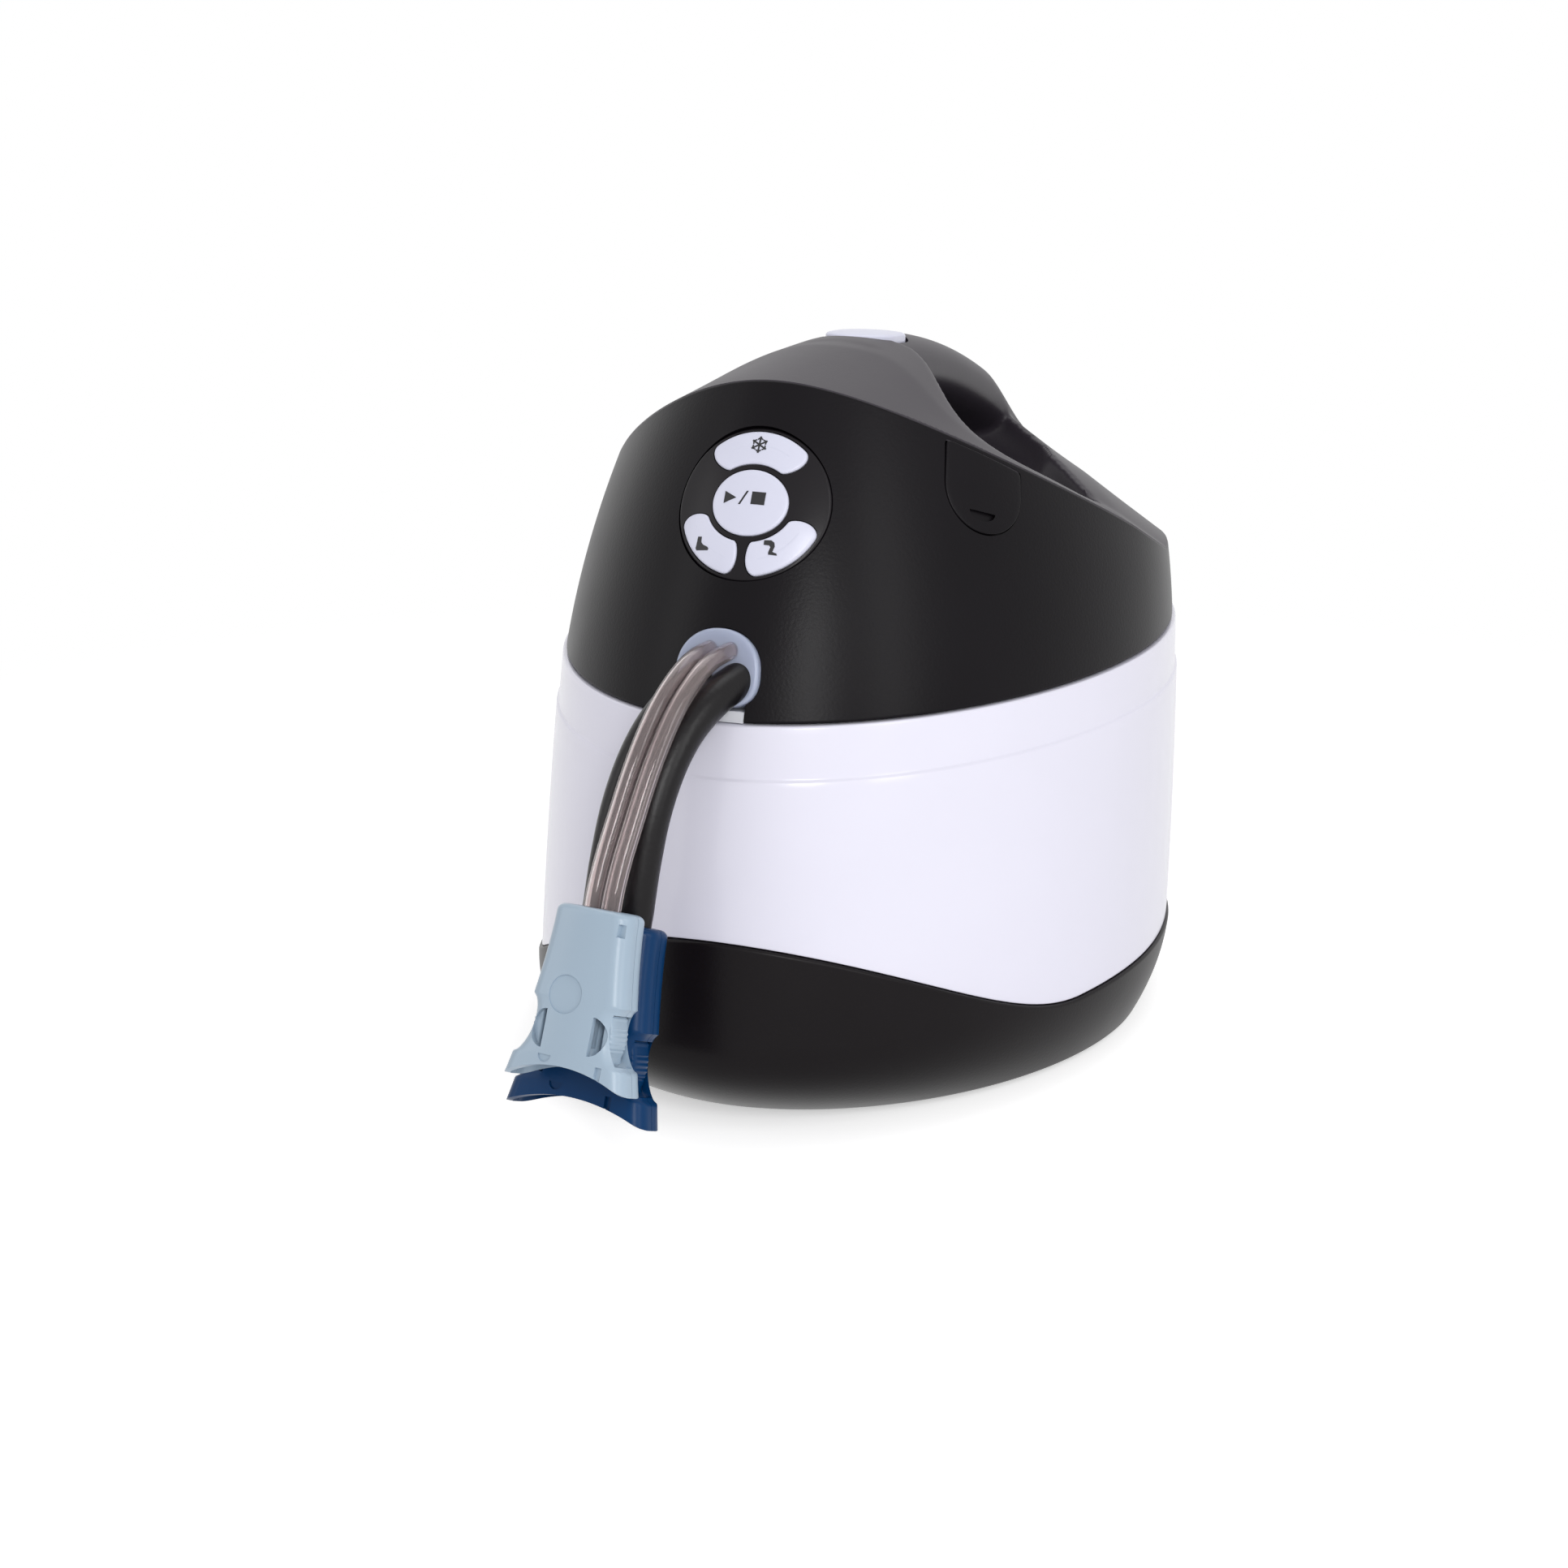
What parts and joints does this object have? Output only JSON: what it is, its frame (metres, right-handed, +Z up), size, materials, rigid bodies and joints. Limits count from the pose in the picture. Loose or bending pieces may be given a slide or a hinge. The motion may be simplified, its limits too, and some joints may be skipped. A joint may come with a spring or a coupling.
{
  "type": "cold and compression therapy pump",
  "caption": "Portable cold and compression therapy unit: ice-water tub, lift-off pump lid with carry handle and keypad, hoses and quick connectors.",
  "frame": {"origin": "on the floor, under the middle of the box round the unit without its hoses and connectors", "axes": "+Z up, -Y to the front with the keypad and hoses, +X to the right seen from the front"},
  "size_m": [0.2352, 0.4157, 0.2624],
  "materials": {
    "tub_white": "smooth gloss",
    "liner_white": "smooth",
    "foam": "closed-cell foam",
    "black_satin": "fine satin grain",
    "cover_grey": "matt",
    "rubber_foot": "matt",
    "steel": "plated",
    "gasket": "matt",
    "board_green": "solder mask",
    "grommet": "milky, translucent",
    "die_cast": "as cast",
    "copper": "windings and shaft",
    "valve_body": "moulded",
    "manifold": "moulded",
    "pump_grey": "moulded",
    "impeller": "moulded",
    "jack": "moulded",
    "button_white": "satin",
    "air_tube": "clear, smoky",
    "water_sleeve": "foam sleeve, satin",
    "connector_grey": "satin",
    "connector_blue": "satin"
  },
  "bodies": {
    "tub": {"tub_shell": "tub_white", "tub_liner": "liner_white", "insulation_foam": "foam", "base_trim": "black_satin", "foot_front_left": "rubber_foot", "foot_front_right": "rubber_foot", "foot_rear_left": "rubber_foot", "foot_rear_right": "rubber_foot", "latch_keeper": "steel"},
    "lid": {"lid_housing": "black_satin", "top_cover": "cover_grey", "lid_pan": "liner_white", "lid_gasket": "gasket", "keypad_panel": "black_satin", "keypad_board": "board_green", "hose_grommet": "grommet", "main_board": "board_green", "compressor_body": "die_cast", "compressor_head": "die_cast", "air_valve_left": "valve_body", "air_valve_right": "valve_body", "air_manifold": "manifold", "pump_housing": "pump_grey", "pump_cover": "pump_grey", "intake_strainer": "manifold", "water_manifold": "manifold", "dc_jack": "jack", "housing_screw_1": "steel", "housing_screw_2": "steel", "housing_screw_3": "steel", "housing_screw_4": "steel", "air_hose_left": "air_tube", "air_hose_right": "air_tube", "water_hose_left": "water_sleeve", "water_hose_right": "water_sleeve", "air_plug_front": "connector_grey", "air_plug_back": "connector_grey", "air_plug_block": "connector_grey", "water_plug_front": "connector_blue", "water_plug_back": "connector_blue", "water_plug_block": "connector_blue"},
    "release": {"release_button": "button_white"},
    "bolt": {"latch_bolt": "steel"},
    "key_cold": {"button_cold": "button_white"},
    "key_run": {"button_run": "button_white"},
    "key_left": {"button_left": "button_white"},
    "key_right": {"button_right": "button_white"},
    "port_flap": {"port_cover": "black_satin"},
    "rotor": {"compressor_rotor": "copper"},
    "impeller": {"pump_impeller": "impeller"},
    "air_latch_left": {"air_lever_left": "connector_grey"},
    "air_latch_right": {"air_lever_right": "connector_grey"},
    "water_latch_left": {"water_lever_left": "connector_blue"},
    "water_latch_right": {"water_lever_right": "connector_blue"}
  },
  "joints": [
    {"name": "lid_lift", "type": "slide", "parent": "tub", "child": "lid", "axis": [0, 0, 1], "range_m": [0, 0.2]},
    {"name": "release_press", "type": "slide", "parent": "lid", "child": "release", "axis": [0, 0, -1], "range_m": [0, 0.003], "stiffness_N_per_m": 700},
    {"name": "bolt_draw", "type": "slide", "parent": "lid", "child": "bolt", "axis": [0, -1, 0], "range_m": [0, 0.008]},
    {"name": "cold_press", "type": "slide", "parent": "lid", "child": "key_cold", "axis": [0, 0.8829, -0.4695], "range_m": [0, 0.001], "stiffness_N_per_m": 900},
    {"name": "run_press", "type": "slide", "parent": "lid", "child": "key_run", "axis": [0, 0.8829, -0.4695], "range_m": [0, 0.001], "stiffness_N_per_m": 900},
    {"name": "left_press", "type": "slide", "parent": "lid", "child": "key_left", "axis": [0, 0.8829, -0.4695], "range_m": [0, 0.001], "stiffness_N_per_m": 900},
    {"name": "right_press", "type": "slide", "parent": "lid", "child": "key_right", "axis": [0, 0.8829, -0.4695], "range_m": [0, 0.001], "stiffness_N_per_m": 900},
    {"name": "port_flap_hinge", "type": "hinge", "parent": "lid", "child": "port_flap", "pos_m": [0.06745, -0.063, 0.22846], "axis": [-0.6098, -0.662, 0.4357], "range_deg": [0, 110]},
    {"name": "rotor_spin", "type": "hinge", "parent": "lid", "child": "rotor", "pos_m": [0.018, 0.0873, 0.1644], "axis": [1, 0, 0], "continuous": true},
    {"name": "impeller_spin", "type": "hinge", "parent": "lid", "child": "impeller", "pos_m": [0, 0.0273, 0.106], "axis": [0, 0, 1], "continuous": true},
    {"name": "air_latch_left_hinge", "type": "hinge", "parent": "lid", "child": "air_latch_left", "pos_m": [-0.03329, -0.22159, 0.06245], "axis": [-0.1632, -0.9254, 0.342], "range_deg": [0, 5], "stiffness_Nm_per_rad": 0.8},
    {"name": "air_latch_right_hinge", "type": "hinge", "parent": "lid", "child": "air_latch_right", "pos_m": [-0.00696, -0.22624, 0.06245], "axis": [0.1632, 0.9254, -0.342], "range_deg": [0, 5], "stiffness_Nm_per_rad": 0.8},
    {"name": "water_latch_left_hinge", "type": "hinge", "parent": "lid", "child": "water_latch_left", "pos_m": [-0.03996, -0.20524, 0.0487], "axis": [-0.1632, -0.9254, 0.342], "range_deg": [0, 5], "stiffness_Nm_per_rad": 0.8},
    {"name": "water_latch_right_hinge", "type": "hinge", "parent": "lid", "child": "water_latch_right", "pos_m": [-0.00575, -0.21128, 0.0487], "axis": [0.1632, 0.9254, -0.342], "range_deg": [0, 5], "stiffness_Nm_per_rad": 0.8}
  ],
  "couplings": [
    {"joint": "bolt_draw", "follows": "release_press", "ratio": 2.6667}
  ]
}
